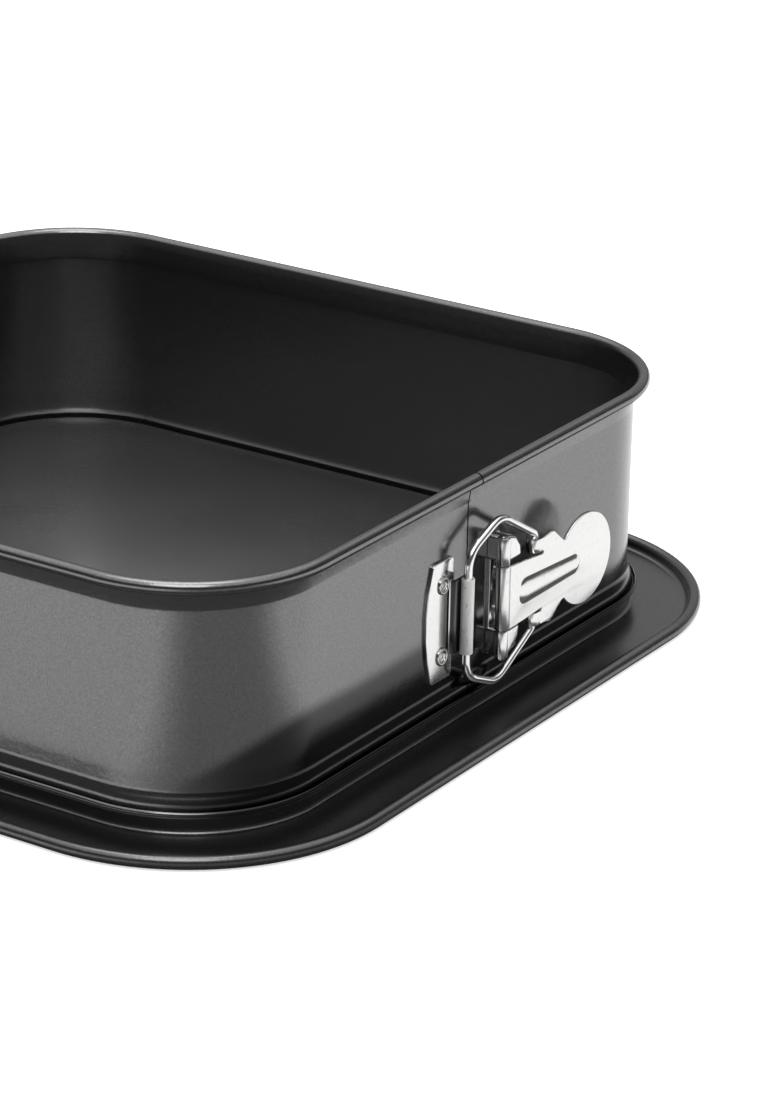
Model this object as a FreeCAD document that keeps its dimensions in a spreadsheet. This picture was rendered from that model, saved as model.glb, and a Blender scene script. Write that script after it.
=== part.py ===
import FreeCAD, Part
import os
from math import sin, cos, radians, sqrt, atan2, degrees, pi

# Springform pan: a pressed base plate, a sprung ring band whose two ends meet at a buckle,
# and the buckle (catch plate, bail with sleeve, thumb lever, hinge bracket, pin and rivets).
# Origin at the centre of the base plate, z = 0 on the plane the pan rests on, +Z up.
# +X points out of the buckle side. All sizes are in mm.

doc = FreeCAD.newDocument("SpringformPan")
V = FreeCAD.Vector
Rot = FreeCAD.Rotation
Pl = FreeCAD.Placement

SIZES = [
    ("sheet_ring", 0.7, "ring band sheet thickness"),
    ("sheet_base", 0.8, "base plate sheet thickness"),
    ("wall_outer", 120.7, "outer face of the ring wall from the centre"),
    ("corner_centre", 80.3, "corner centres from the centre, both ways"),
    ("joggle_step", 1.6, "how far the skirt stands outside the wall"),
    ("hem_radius", 0.8, "bend radius of the bottom hem, mid sheet"),
    ("hem_centre_z", 7.0, "height of the hem centre"),
    ("joggle_start_z", 8.6, "height where the joggle starts"),
    ("joggle_radius", 4.0, "joggle bend radius, mid sheet"),
    ("joggle_angle", 36.8699, "joggle bend angle"),
    ("collar_start_z", 65.0, "height where the collar flares"),
    ("collar_angle", 10.0, "collar flare angle"),
    ("collar_length", 7.6, "straight length of the collar"),
    ("curl_radius", 1.65, "rim curl radius, mid sheet"),
    ("seam_y", -2.2, "end of the front band at the seam"),
    ("seam_gap", 0.2, "gap between the band ends"),
    ("flap_reach", 11.3, "reach of the inner flap past the centre"),
    ("flap_bottom", 17.0, "bottom of the inner flap"),
    ("flap_height", 45.0, "height of the inner flap"),
    ("flex_x", 80.3, "where the front band starts on the front wall"),
    ("panel_top", 9.6, "top of the floor panel"),
    ("step_outer", 121.45, "outer face of the base step"),
    ("panel_fillet", 1.5, "outer radius of the panel edge"),
    ("moat_fillet", 1.5, "inner radius of the bends in the drip channel"),
    ("plate_roll", 2.0, "outer radius of the plate's rolled rim"),
    ("plate_roll_x", 141.8, "rolled rim centre from the centre"),
    ("latch_z", 34.0, "height of the buckle's centre"),
    ("plate_thick", 0.9, "catch plate thickness"),
    ("catch_half", 18.3, "half height of the catch plate"),
    ("catch_y", 15.9, "catch rivets from the centre plane"),
    ("catch_rivet_z", 10.85, "catch rivets above and below the buckle's centre"),
    ("tongue_x", 123.22, "front of the catch tongue"),
    ("hook_half", 11.2, "half height of the catch tongue"),
    ("bar_x", 125.17, "bail bar centre"),
    ("bar_y", -8.4, "bail bar centre"),
    ("lip_gap", 0.2, "gap between sleeve and catch lip"),
    ("wire_radius", 1.2, "bail wire radius"),
    ("sleeve_outer", 1.9, "sleeve outer radius"),
    ("running", 0.06, "radial running clearance"),
    ("sleeve_half", 11.4, "half length of the sleeve"),
    ("pin_x", 126.0, "hinge pin centre"),
    ("pin_y", 9.2, "hinge pin centre"),
    ("pin_radius", 1.0, "hinge pin radius"),
    ("knuckle_outer", 2.0, "outer radius of the bracket knuckles"),
    ("knuckle_low", 10.1, "knuckles start this far from the buckle's centre"),
    ("knuckle_high", 18.4, "knuckles end this far from the buckle's centre"),
    ("bracket_thick", 1.0, "hinge bracket sheet thickness"),
    ("bracket_front", 127.0, "front face of the bracket ears"),
    ("lever_thick", 1.0, "lever sheet thickness"),
    ("lever_half", 9.8, "half length of the lever barrel"),
    ("lever_tilt", 2.2, "lever stands off the wall by this angle"),
    ("stub_x", 126.4183, "bail stub axis"),
    ("stub_y", 25.2958, "bail stub axis"),
    ("disc_y", 40.4, "thumb disc centre from the hinge pin"),
    ("disc_radius", 14.1, "thumb disc radius"),
    ("rivet_radius", 1.5, "rivet shank radius"),
    ("rivet_head", 2.75, "rivet head radius"),
    ("hinge_rivet_y", 13.4, "bracket rivets from the centre plane"),
    ("hinge_rivet_z", 6.2, "bracket rivets above and below the buckle's centre"),
]
sheet = doc.addObject("Spreadsheet::Sheet", "sizes")
S = {}
for i, (name, value, note) in enumerate(SIZES):
    row = i + 1
    sheet.set("A%d" % row, name)
    sheet.set("B%d" % row, "%.6g" % value)
    sheet.setAlias("B%d" % row, name)
    sheet.set("C%d" % row, note)
doc.recompute()
for name, value, note in SIZES:
    S[name] = float(getattr(sheet, name))


def plane(body, role):
    for f in body.Origin.OriginFeatures:
        if getattr(f, "Role", "") == role:
            return f
    raise RuntimeError(role)


def new_body(name, place=None):
    b = doc.addObject("PartDesign::Body", name)
    b.Label = name
    if place is not None:
        b.Placement = place
    return b


def new_sketch(body, name, role, off=0.0, expr=None):
    k = body.newObject("Sketcher::SketchObject", name)
    k.AttachmentSupport = [(plane(body, role), "")]
    k.MapMode = "FlatFace"
    k.AttachmentOffset = Pl(V(0, 0, off), Rot())
    if expr:
        k.setExpression("AttachmentOffset.Base.z", expr)
    return k


class Track:
    """A mid-sheet line made of tangent straights and arcs, offset to both sides into a closed outline."""

    def __init__(self, x, y, heading):
        self.p = (x, y)
        self.h = heading
        self.segs = []

    def line(self, length):
        a = self.p
        b = (a[0] + length * cos(radians(self.h)), a[1] + length * sin(radians(self.h)))
        self.segs.append(("line", a, b, self.h))
        self.p = b
        return self

    def arc(self, radius, turn):
        # turn > 0 bends left, turn < 0 bends right
        s = 1.0 if turn > 0 else -1.0
        h0 = radians(self.h)
        c = (self.p[0] - s * radius * sin(h0), self.p[1] + s * radius * cos(h0))
        a0 = self.h - 90.0 * s
        a1 = a0 + turn
        b = (c[0] + radius * cos(radians(a1)), c[1] + radius * sin(radians(a1)))
        self.segs.append(("arc", c, radius, a0, a1, s))
        self.p = b
        self.h += turn
        return self

    def side(self, off):
        # off > 0 is the left side
        out = []
        for g in self.segs:
            if g[0] == "line":
                n = (-sin(radians(g[3])) * off, cos(radians(g[3])) * off)
                out.append(("line", (g[1][0] + n[0], g[1][1] + n[1]), (g[2][0] + n[0], g[2][1] + n[1])))
            else:
                c, r, a0, a1, s = g[1:]
                rr = r - s * off
                out.append(("arc", c, rr, a0, a1))
        return out

    def outline(self, t):
        return self.side(t / 2.0), self.side(-t / 2.0)


def seg_points(g):
    if g[0] == "line":
        return g[1], g[2]
    c, r, a0, a1 = g[1:]
    f = lambda a: (c[0] + r * cos(radians(a)), c[1] + r * sin(radians(a)))
    return f(a0), f(a1)


def add_seg(k, g):
    if g[0] == "line":
        k.addGeometry(Part.LineSegment(V(g[1][0], g[1][1], 0), V(g[2][0], g[2][1], 0)), False)
        return
    c, r, a0, a1 = g[1:]
    lo, hi = (a0, a1) if a1 > a0 else (a1, a0)
    circ = Part.Circle(V(c[0], c[1], 0), V(0, 0, 1), r)
    k.addGeometry(Part.ArcOfCircle(circ, radians(lo), radians(hi)), False)


def add_track(k, track, t):
    left, right = track.outline(t)
    for g in left + right:
        add_seg(k, g)
    for i in (0, -1):
        a = seg_points(left[i])[0 if i == 0 else 1]
        b = seg_points(right[i])[0 if i == 0 else 1]
        k.addGeometry(Part.LineSegment(V(a[0], a[1], 0), V(b[0], b[1], 0)), False)


def add_loop(k, pts, tie=True):
    """A closed outline. Each entry is (x, y) or (x, y, bulge); bulge is the arc to the next point (tan of a quarter of its angle)."""
    n = len(pts)
    ids = []
    for i in range(n):
        p, q = pts[i], pts[(i + 1) % n]
        bulge = p[2] if len(p) > 2 else 0.0
        a, b = V(p[0], p[1], 0), V(q[0], q[1], 0)
        if abs(bulge) < 1e-9:
            ids.append(k.addGeometry(Part.LineSegment(a, b), False))
        else:
            m = (a + b) * 0.5
            d = b - a
            h = bulge * d.Length / 2.0
            nrm = V(d.y, -d.x, 0)
            nrm.normalize()
            mid = m + nrm * h
            ids.append(k.addGeometry(Part.Arc(a, mid, b), False))
    return ids


def circle(k, x, y, r, alias=None):
    i = k.addGeometry(Part.Circle(V(x, y, 0), V(0, 0, 1), r), False)
    import Sketcher

    c = k.addConstraint(Sketcher.Constraint("Radius", i, r))
    if alias:
        k.setExpression("Constraints[%d]" % c, alias)
    return i


def pad(body, sk, name, length, expr=None, mid=False, rev=False):
    f = body.newObject("PartDesign::Pad", name)
    f.Profile = sk
    f.Length = length
    if expr:
        f.setExpression("Length", expr)
    if mid:
        f.Midplane = True
    if rev:
        f.Reversed = True
    sk.Visibility = False
    doc.recompute()
    body.Tip = f
    return f


def pocket(body, sk, name, length, expr=None, mid=False, rev=False, through=False):
    before = body.Shape.Volume
    f = body.newObject("PartDesign::Pocket", name)
    f.Profile = sk
    if through:
        f.Type = 1
    else:
        f.Length = length
        if expr:
            f.setExpression("Length", expr)
    if mid:
        f.Midplane = True
    if rev:
        f.Reversed = True
    doc.recompute()
    body.Tip = f
    doc.recompute()
    if not body.Shape.Volume < before - 1e-6:
        raise RuntimeError("%s %s cut nothing" % (body.Label, name))
    return f


def pipe(body, profile, spine, name):
    f = body.newObject("PartDesign::AdditivePipe", name)
    f.Profile = profile
    f.Spine = (spine, [])
    f.Mode = 0
    f.Transition = 0
    doc.recompute()
    body.Tip = f
    return f


W = S["wall_outer"]
CC = S["corner_centre"]
t = S["sheet_ring"]
mid = W - t / 2.0
R0 = mid - CC
EX = "sizes."


def ring_track():
    """The band's section: x is outward, y is up, from the hem's free end to the rim's free end."""
    xs = mid + S["joggle_step"]
    rh = S["hem_radius"]
    hc = (xs + rh, S["hem_centre_z"])
    a = 60.0
    tr = Track(hc[0] + rh * cos(radians(a)), hc[1] + rh * sin(radians(a)), a - 90.0)
    tr.arc(rh, -240.0)
    tr.line(S["joggle_start_z"] - S["hem_centre_z"])
    tr.arc(S["joggle_radius"], S["joggle_angle"])
    tr.arc(S["joggle_radius"], -S["joggle_angle"])
    tr.line(S["collar_start_z"] - tr.p[1])
    tr.arc(4.0, -S["collar_angle"])
    tr.line(S["collar_length"])
    tr.arc(S["curl_radius"], -290.0)
    return tr


def base_track():
    tb = S["sheet_base"]
    tr = Track(100.0, S["panel_top"] - tb / 2.0, 0.0)
    rp = S["panel_fillet"] - tb / 2.0
    tr.line(S["step_outer"] - tb / 2.0 - rp - 100.0)
    tr.arc(rp, -90.0)
    rm = S["moat_fillet"] + tb / 2.0
    tr.line(tr.p[1] - tb / 2.0 - rm)
    tr.arc(rm, 90.0)
    rc = S["plate_roll"] - tb / 2.0
    tr.line(S["plate_roll_x"] - rc - rm - tr.p[0])
    tr.arc(rm, 90.0)
    tr.arc(rc, -272.0)
    return tr


# ---------------------------------------------------------------- base plate
body = new_body("base_plate")
k = new_sketch(body, "panel_outline", "XY_Plane", S["panel_top"] - S["sheet_base"], EX + "panel_top - " + EX + "sheet_base")
hb = 100.6
rb = hb - CC
q = 0.41421356
add_loop(k, [(hb, -CC), (hb, CC, q), (CC, hb), (-CC, hb, q), (-hb, CC), (-hb, -CC, q), (-CC, -hb), (CC, -hb, q)])
doc.recompute()
pad(body, k, "panel", S["sheet_base"], EX + "sheet_base")
k = new_sketch(body, "edge_path", "XY_Plane")
add_loop(k, [(mid, 0.0), (mid, CC, q), (CC, mid), (-CC, mid, q), (-mid, CC), (-mid, -CC, q), (-CC, -mid), (CC, -mid, q), (mid, -CC)])
kp = new_sketch(body, "edge_section", "XZ_Plane")
add_track(kp, base_track(), S["sheet_base"])
doc.recompute()
pipe(body, kp, k, "pressed_edge")

# ---------------------------------------------------------------- ring band, back part
y0 = S["seam_y"] + S["seam_gap"]
body = new_body("ring_band_back")
k = new_sketch(body, "band_path", "XY_Plane")
xe = -(S["flex_x"] + S["seam_gap"])
pts = [
    ("line", (mid, y0), (mid, CC)),
    ("arc", (CC, CC), R0, 0.0, 90.0),
    ("line", (CC, mid), (-CC, mid)),
    ("arc", (-CC, CC), R0, 90.0, 180.0),
    ("line", (-mid, CC), (-mid, -CC)),
    ("arc", (-CC, -CC), R0, 180.0, 269.7),
]
for g in pts:
    add_seg(k, g)
kp = new_sketch(body, "band_section", "XZ_Plane", -y0, "-(" + EX + "seam_y + " + EX + "seam_gap)")
add_track(kp, ring_track(), t)
doc.recompute()
pipe(body, kp, k, "band")
k = new_sketch(body, "flap_outline", "XY_Plane", S["flap_bottom"], EX + "flap_bottom")
xi = W - t
add_loop(
    k,
    [
        (xi - 0.72, -S["flap_reach"]),
        (xi - 0.05, -S["flap_reach"]),
        (xi - 0.05, y0 - 0.05),
        (xi + 0.1, y0 + 0.1),
        (xi + 0.1, 5.0),
        (xi - 0.1, 5.0),
        (xi - 0.72, 3.6),
    ],
)
doc.recompute()
pad(body, k, "inner_flap", S["flap_height"], EX + "flap_height")
for sgn, nm in ((1, "upper"), (-1, "lower")):
    k = new_sketch(body, "hinge_hole_%s_outline" % nm, "YZ_Plane", W + 1.0)
    circle(k, S["hinge_rivet_y"], S["latch_z"] + sgn * S["hinge_rivet_z"], S["rivet_radius"], EX + "rivet_radius")
    doc.recompute()
    pocket(body, k, "hinge_hole_%s" % nm, 4.0)

# ---------------------------------------------------------------- ring band, front part
body = new_body("ring_band_front")
k = new_sketch(body, "band_path", "XY_Plane")
for g in [
    ("line", (mid, S["seam_y"]), (mid, -CC)),
    ("arc", (CC, -CC), R0, 0.0, -90.0),
    ("line", (CC, -mid), (-S["flex_x"], -mid)),
]:
    add_seg(k, g)
kp = new_sketch(body, "band_section", "XZ_Plane", -S["seam_y"], "-" + EX + "seam_y")
add_track(kp, ring_track(), t)
doc.recompute()
pipe(body, kp, k, "band")
for sgn, nm in ((1, "upper"), (-1, "lower")):
    k = new_sketch(body, "catch_hole_%s_outline" % nm, "YZ_Plane", W + 1.0)
    circle(k, -S["catch_y"], S["latch_z"] + sgn * S["catch_rivet_z"], S["rivet_radius"], EX + "rivet_radius")
    doc.recompute()
    pocket(body, k, "catch_hole_%s" % nm, 4.0)

# ---------------------------------------------------------------- catch plate
z0 = S["latch_z"]
place = Pl(V(W, 0, z0), Rot())
body = new_body("catch_plate", place)
body.setExpression("Placement.Base.x", EX + "wall_outer")
body.setExpression("Placement.Base.z", EX + "latch_z")
k = new_sketch(body, "flange_outline", "YZ_Plane")
ch = S["catch_half"]
add_loop(
    k,
    [
        (-11.4, -ch),
        (-10.4, -ch + 1.0),
        (-10.4, ch - 1.0),
        (-11.4, ch),
        (-19.9, ch, 0.30),
        (-21.2, ch - 1.1, 0.18),
        (-21.2, -ch + 1.1, 0.30),
        (-19.9, -ch),
    ],
)
doc.recompute()
pad(body, k, "flange", S["plate_thick"], EX + "plate_thick")
# hook section: from the flange, step out, tongue under the bar, lip up the far side
tp = S["plate_thick"]
k = new_sketch(body, "hook_section", "XY_Plane")
rise = (S["tongue_x"] - W) - tp
ang = 60.0
rr = 1.0
tr = Track(tp / 2.0, -13.6, 90.0)
tr.line(1.0)
tr.arc(rr, -ang)
tr.line((rise - 2 * rr * (1 - cos(radians(ang)))) / sin(radians(ang)))
tr.arc(rr, ang)
lip_in = S["bar_y"] + S["sleeve_outer"] + S["lip_gap"]
rl = 0.7
tr.line(lip_in + tp / 2.0 - rl - tr.p[1])
tr.arc(rl, -90.0)
tr.line((S["bar_x"] - W) - tr.p[0])
add_track(k, tr, tp)
doc.recompute()
pad(body, k, "hook", 2 * S["hook_half"], "2 * " + EX + "hook_half", mid=True)
for sgn, nm in ((1, "upper"), (-1, "lower")):
    k = new_sketch(body, "rivet_hole_%s_outline" % nm, "YZ_Plane", 2.0)
    circle(k, -S["catch_y"], sgn * S["catch_rivet_z"], S["rivet_radius"], EX + "rivet_radius")
    doc.recompute()
    pocket(body, k, "rivet_hole_%s" % nm, 4.0)


# ---------------------------------------------------------------- rivets
def rivet(name, y, z, thick):
    """Eyelet rivet along X: rounded outer head with a dimple, shank through the plate and the wall, flat inner head."""
    b = new_body(name, Pl(V(W, y, z), Rot()))
    b.setExpression("Placement.Base.x", EX + "wall_outer")
    k = new_sketch(b, "section", "XY_Plane")
    rs, rh = S["rivet_radius"], S["rivet_head"]
    add_loop(
        k,
        [
            (-t - 0.6, 0.0),
            (-t - 0.6, rh - 0.5),
            (-t - 0.2, rh - 0.1),
            (-t, rh - 0.1),
            (-t, rs),
            (thick, rs),
            (thick, rh),
            (thick + 0.25, rh),
            (thick + 0.75, rh - 0.75, 0.15),
            (thick + 0.8, 1.3),
            (thick + 0.3, 0.9),
            (thick + 0.3, 0.0),
        ],
    )
    doc.recompute()
    f = b.newObject("PartDesign::Revolution", "turned")
    f.Profile = k
    f.ReferenceAxis = ([o for o in b.Origin.OriginFeatures if o.Role == "X_Axis"][0], [""])
    f.Angle = 360.0
    doc.recompute()
    b.Tip = f
    return b


for sgn, nm in ((1, "upper"), (-1, "lower")):
    rivet("catch_rivet_%s" % nm, -S["catch_y"], z0 + sgn * S["catch_rivet_z"], tp)
    rivet("hinge_rivet_%s" % nm, S["hinge_rivet_y"], z0 + sgn * S["hinge_rivet_z"], S["bracket_thick"])

# ---------------------------------------------------------------- hinge bracket
bt = S["bracket_thick"]
body = new_body("hinge_bracket", place)
body.setExpression("Placement.Base.x", EX + "wall_outer")
body.setExpression("Placement.Base.z", EX + "latch_z")
px, py = S["pin_x"] - W, S["pin_y"]
bf = S["bracket_front"] - W
kh = S["knuckle_high"]


k = new_sketch(body, "leaf_outline", "YZ_Plane")
add_loop(k, [(py, -kh), (13.0, -kh, 0.30), (14.1, -kh + 0.8, 0.155), (14.1, kh - 0.8, 0.30), (13.0, kh), (py, kh)])
doc.recompute()
pad(body, k, "leaf", bt, EX + "bracket_thick")
kl = S["knuckle_low"] + 0.2
for sgn, nm in ((1, "upper"), (-1, "lower")):
    k = new_sketch(body, "ear_%s_outline" % nm, "YZ_Plane")
    pts = [(py, kl), (18.1, kl), (17.4, 14.2), (14.8, 17.4), (11.8, kh), (py, kh)]
    if sgn < 0:
        pts = [(y, -z) for y, z in reversed(pts)]
    add_loop(k, pts)
    doc.recompute()
    pad(body, k, "ear_%s" % nm, bf)
    k = new_sketch(body, "ear_%s_hollow" % nm, "YZ_Plane", bt)
    pts = [(py - 0.1, kl + bt), (17.0, kl + bt), (16.4, 13.8), (14.2, 16.6), (11.5, kh - bt), (py - 0.1, kh - bt)]
    if sgn < 0:
        pts = [(y, -z) for y, z in reversed(pts)]
    add_loop(k, pts)
    doc.recompute()
    pocket(body, k, "ear_%s_inside" % nm, bf - 2 * bt, rev=True)
    k = new_sketch(body, "knuckle_%s_outline" % nm, "XY_Plane", sgn * S["knuckle_low"])
    circle(k, px, py, S["knuckle_outer"], EX + "knuckle_outer")
    doc.recompute()
    pad(body, k, "knuckle_%s" % nm, kh - S["knuckle_low"], EX + "knuckle_high - " + EX + "knuckle_low", rev=sgn < 0)
k = new_sketch(body, "pin_bore_outline", "XY_Plane", 0.0)
circle(k, px, py, S["pin_radius"], EX + "pin_radius")
doc.recompute()
pocket(body, k, "pin_bore", 60.0, mid=True)
for sgn, nm in ((1, "upper"), (-1, "lower")):
    k = new_sketch(body, "rivet_hole_%s_outline" % nm, "YZ_Plane", 2.0)
    circle(k, S["hinge_rivet_y"], sgn * S["hinge_rivet_z"], S["rivet_radius"], EX + "rivet_radius")
    doc.recompute()
    pocket(body, k, "rivet_hole_%s" % nm, 4.0)

# ---------------------------------------------------------------- hinge pin
body = new_body("hinge_pin", Pl(V(S["pin_x"], S["pin_y"], z0), Rot()))
body.setExpression("Placement.Base.x", EX + "pin_x")
body.setExpression("Placement.Base.y", EX + "pin_y")
body.setExpression("Placement.Base.z", EX + "latch_z")
k = new_sketch(body, "pin_outline", "XY_Plane", -kh - 0.7)
circle(k, 0, 0, S["pin_radius"], EX + "pin_radius")
doc.recompute()
pad(body, k, "shank", 2 * kh + 1.4)
for sgn, nm in ((1, "upper"), (-1, "lower")):
    k = new_sketch(body, "head_%s_outline" % nm, "XY_Plane", sgn * kh)
    circle(k, 0, 0, 1.45)
    doc.recompute()
    pad(body, k, "head_%s" % nm, 0.7, rev=sgn < 0)

# ---------------------------------------------------------------- thumb lever
lt = S["lever_thick"]
lh = S["lever_half"]
rp = S["pin_radius"] + S["running"]
rc = rp + lt / 2.0
body = new_body("thumb_lever", Pl(V(S["pin_x"], S["pin_y"], z0), Rot(V(0, 0, 1), -S["lever_tilt"])))
body.setExpression("Placement.Base.x", EX + "pin_x")
body.setExpression("Placement.Base.y", EX + "pin_y")
body.setExpression("Placement.Base.z", EX + "latch_z")
# barrel curl, in plan: x out of the wall, y along the lever
k = new_sketch(body, "barrel_section", "XY_Plane")
tr = Track(rc, 4.0, -90.0)
tr.line(4.0)
tr.arc(rc, -285.0)
add_track(k, tr, lt)
doc.recompute()
pad(body, k, "barrel", 2 * lh, "2 * " + EX + "lever_half", mid=True)
# stub position in the lever's own frame
dx, dy = S["stub_x"] - S["pin_x"], S["stub_y"] - S["pin_y"]
ti = radians(S["lever_tilt"])
sx, sy = dx * cos(ti) - dy * sin(ti), dx * sin(ti) + dy * cos(ti)
xin, xout = rp, rp + lt
k = new_sketch(body, "plate_outline", "YZ_Plane", xin)
dR, dY = S["disc_radius"], S["disc_y"]
ux, uz = dY - 10.6, sqrt(dR**2 - 10.6**2)
tab_lo, tab_hi = 9.3, 13.5
half = [
    (0.0, lh),
    (17.6, 8.5),
    (17.6, tab_lo),
    (sy, tab_lo),
    (sy, tab_hi),
    (18.4, tab_hi),
    (22.0, 13.9, -0.25),
    (24.4, 12.9),
    (28.2, 9.6, 0.2),
    (ux, uz),
]
a0 = degrees(atan2(uz, ux - dY))
sweep = 2 * a0
up = [p for p in half]
low = [(p[0], -p[1]) for p in reversed(half)]
pts = []
for i, p in enumerate(up[:-1]):
    pts.append((p[0], p[1]) + ((p[2],) if len(p) > 2 else ()))
pts[-1] = (pts[-1][0], pts[-1][1])
# the thumb disc's edge, as two arcs
b2 = -1.0 * (1.0 if sweep > 0 else 0.0)
quarter = sweep / 2.0
bul = -((1 - cos(radians(quarter / 2.0))) / sin(radians(quarter / 2.0)))
pts.append((ux, uz, bul))
pts.append((dY + dR, 0.0, bul))
pts.append((ux, -uz))
for p in low[1:]:
    pts.append((p[0], p[1]))
add_loop(k, [tuple(p) for p in pts])
doc.recompute()
pad(body, k, "plate", lt, EX + "lever_thick")
# curls that hold the bail's stubs
for sgn, nm in ((1, "upper"), (-1, "lower")):
    k = new_sketch(body, "tab_%s_section" % nm, "XY_Plane", sgn * tab_lo)
    rs = S["wire_radius"] + S["running"] + lt / 2.0
    tr = Track(sx + rs, sy + 3.5, -90.0)
    tr.line(3.5)
    tr.arc(rs, -285.0)
    add_track(k, tr, lt)
    doc.recompute()
    pad(body, k, "tab_%s" % nm, tab_hi - tab_lo, rev=sgn < 0)
# stiffening rib: pressed outwards, hollow behind
k = new_sketch(body, "rib_outline", "YZ_Plane", xout)
add_loop(k, [(9.6, -4.1), (34.4, -3.1, 1.0), (34.4, 3.1), (9.6, 4.1, 1.0)])
doc.recompute()
pad(body, k, "rib", 0.8)
k = new_sketch(body, "rib_hollow_outline", "YZ_Plane", xin)
add_loop(k, [(9.6, -3.3), (34.4, -2.3, 1.0), (34.4, 2.3), (9.6, 3.3, 1.0)])
doc.recompute()
pocket(body, k, "rib_hollow", 0.9, rev=True)

# ---------------------------------------------------------------- bail wire
# Bent in one plane through the stub axis and the bar; built flat and then tilted.
bd = sqrt((S["stub_x"] - S["bar_x"]) ** 2 + (S["stub_y"] - S["bar_y"]) ** 2)
tilt = degrees(atan2(S["stub_x"] - S["bar_x"], S["stub_y"] - S["bar_y"]))
body = new_body("bail_wire", Pl(V(S["stub_x"], S["stub_y"], z0), Rot(V(0, 0, 1), -tilt)))
body.setExpression("Placement.Base.x", EX + "stub_x")
body.setExpression("Placement.Base.y", EX + "stub_y")
body.setExpression("Placement.Base.z", EX + "latch_z")


def fillet_path(points, radii):
    """Points joined by straights, with each inner corner rounded."""
    out = []
    last = V(*points[0], 0)
    for i in range(1, len(points) - 1):
        a, b, c = V(*points[i - 1], 0), V(*points[i], 0), V(*points[i + 1], 0)
        u = (a - b).normalize()
        w = (c - b).normalize()
        angle = u.getAngle(w)
        d = radii[i - 1] / (sin(angle / 2) / cos(angle / 2))
        p, r = b + u * d, b + w * d
        bis = (u + w).normalize()
        ctr = b + bis * (radii[i - 1] / sin(angle / 2))
        m = ctr - bis * radii[i - 1]
        out.append(Part.LineSegment(last, p))
        out.append(Part.Arc(p, m, r))
        last = r
    out.append(Part.LineSegment(last, V(*points[-1], 0)))
    return out


stub_end = 9.4
loop = [
    (0.0, stub_end),
    (0.0, 14.6),
    (-18.2, 25.6),
    (-bd, 18.7),
    (-bd, -18.7),
    (-18.2, -25.6),
    (0.0, -14.6),
    (0.0, -stub_end),
]
k = new_sketch(body, "bail_path", "YZ_Plane")
for g in fillet_path(loop, [1.7, 8.0, 7.6, 7.6, 8.0, 1.7]):
    k.addGeometry(g, False)
kp = new_sketch(body, "wire_section", "XY_Plane", stub_end)
circle(kp, 0, 0, S["wire_radius"], EX + "wire_radius")
doc.recompute()
pipe(body, kp, k, "wire")

# ---------------------------------------------------------------- sleeve on the bail's bar
body = new_body("bail_sleeve", Pl(V(S["bar_x"], S["bar_y"], z0), Rot()))
body.setExpression("Placement.Base.x", EX + "bar_x")
body.setExpression("Placement.Base.y", EX + "bar_y")
body.setExpression("Placement.Base.z", EX + "latch_z")
k = new_sketch(body, "tube_outline", "XY_Plane")
circle(k, 0, 0, S["sleeve_outer"], EX + "sleeve_outer")
circle(k, 0, 0, S["wire_radius"] + S["running"], EX + "wire_radius + " + EX + "running")
doc.recompute()
pad(body, k, "tube", 2 * S["sleeve_half"], "2 * " + EX + "sleeve_half", mid=True)

doc.recompute()
NODES = [
    "base_plate",
    "ring_band_back",
    "ring_band_front",
    "hinge_bracket",
    "hinge_rivet_upper",
    "hinge_rivet_lower",
    "hinge_pin",
    "catch_plate",
    "catch_rivet_upper",
    "catch_rivet_lower",
    "thumb_lever",
    "bail_wire",
    "bail_sleeve",
]
for o in doc.Objects:
    if "Invalid" in o.State or "Error" in o.State:
        raise RuntimeError("%s is %s" % (o.Label, o.State))
os.makedirs("parts", exist_ok=True)
for n in NODES:
    o = [b for b in doc.Objects if b.Label == n][0]
    s = o.Shape
    if s.isNull() or not s.isValid() or len(s.Solids) != 1:
        raise RuntimeError("%s: null %s valid %s solids %d" % (n, s.isNull(), s.isValid(), len(s.Solids)))
    bb = s.BoundBox
    print("%-18s vol %10.2f  x %.2f..%.2f y %.2f..%.2f z %.2f..%.2f" % (n, s.Volume, bb.XMin, bb.XMax, bb.YMin, bb.YMax, bb.ZMin, bb.ZMax))
    s.exportStep("parts/%s.step" % n)
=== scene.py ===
"""Square pan with rounded corners: a non-stick ring around a base plate, closed by a buckle.

The pan stands on z = 0, centred on the z axis. The ring's seam and the buckle are on the +x
wall: the catch plate on the -y side of the seam, the hinge on the +y side. Shapes are in
millimetres and mesh_object() turns them into metres; shaders, lights and camera use metres.
"""
import random
from math import acos, atan, atan2, cos, degrees, dist, hypot, pi, radians, sin, sqrt, tan

import bmesh
import bpy
from mathutils import Matrix, Vector
from mathutils.geometry import tessellate_polygon


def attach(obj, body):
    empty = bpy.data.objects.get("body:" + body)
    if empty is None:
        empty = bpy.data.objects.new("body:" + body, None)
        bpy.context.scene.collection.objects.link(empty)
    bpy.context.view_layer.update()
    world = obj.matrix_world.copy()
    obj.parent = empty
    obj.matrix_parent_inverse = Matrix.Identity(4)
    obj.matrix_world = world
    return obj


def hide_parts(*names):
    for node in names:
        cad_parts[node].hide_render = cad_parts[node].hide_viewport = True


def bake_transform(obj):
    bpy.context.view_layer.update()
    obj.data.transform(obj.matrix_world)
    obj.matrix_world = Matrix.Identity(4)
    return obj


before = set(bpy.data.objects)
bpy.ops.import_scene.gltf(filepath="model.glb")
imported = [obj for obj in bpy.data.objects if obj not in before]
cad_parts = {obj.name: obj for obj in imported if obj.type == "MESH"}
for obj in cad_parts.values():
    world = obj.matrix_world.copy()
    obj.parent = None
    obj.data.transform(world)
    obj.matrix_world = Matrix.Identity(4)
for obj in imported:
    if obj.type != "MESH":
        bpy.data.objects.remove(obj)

random.seed(7)
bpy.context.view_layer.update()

# ------------------------------------------------------------------ shared sizes, mm
MM = 0.001
RING_T, BASE_T = 0.7, 0.8  # sheet thicknesses
WALL_X = 120.7  # outer face of the ring's walls
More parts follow.
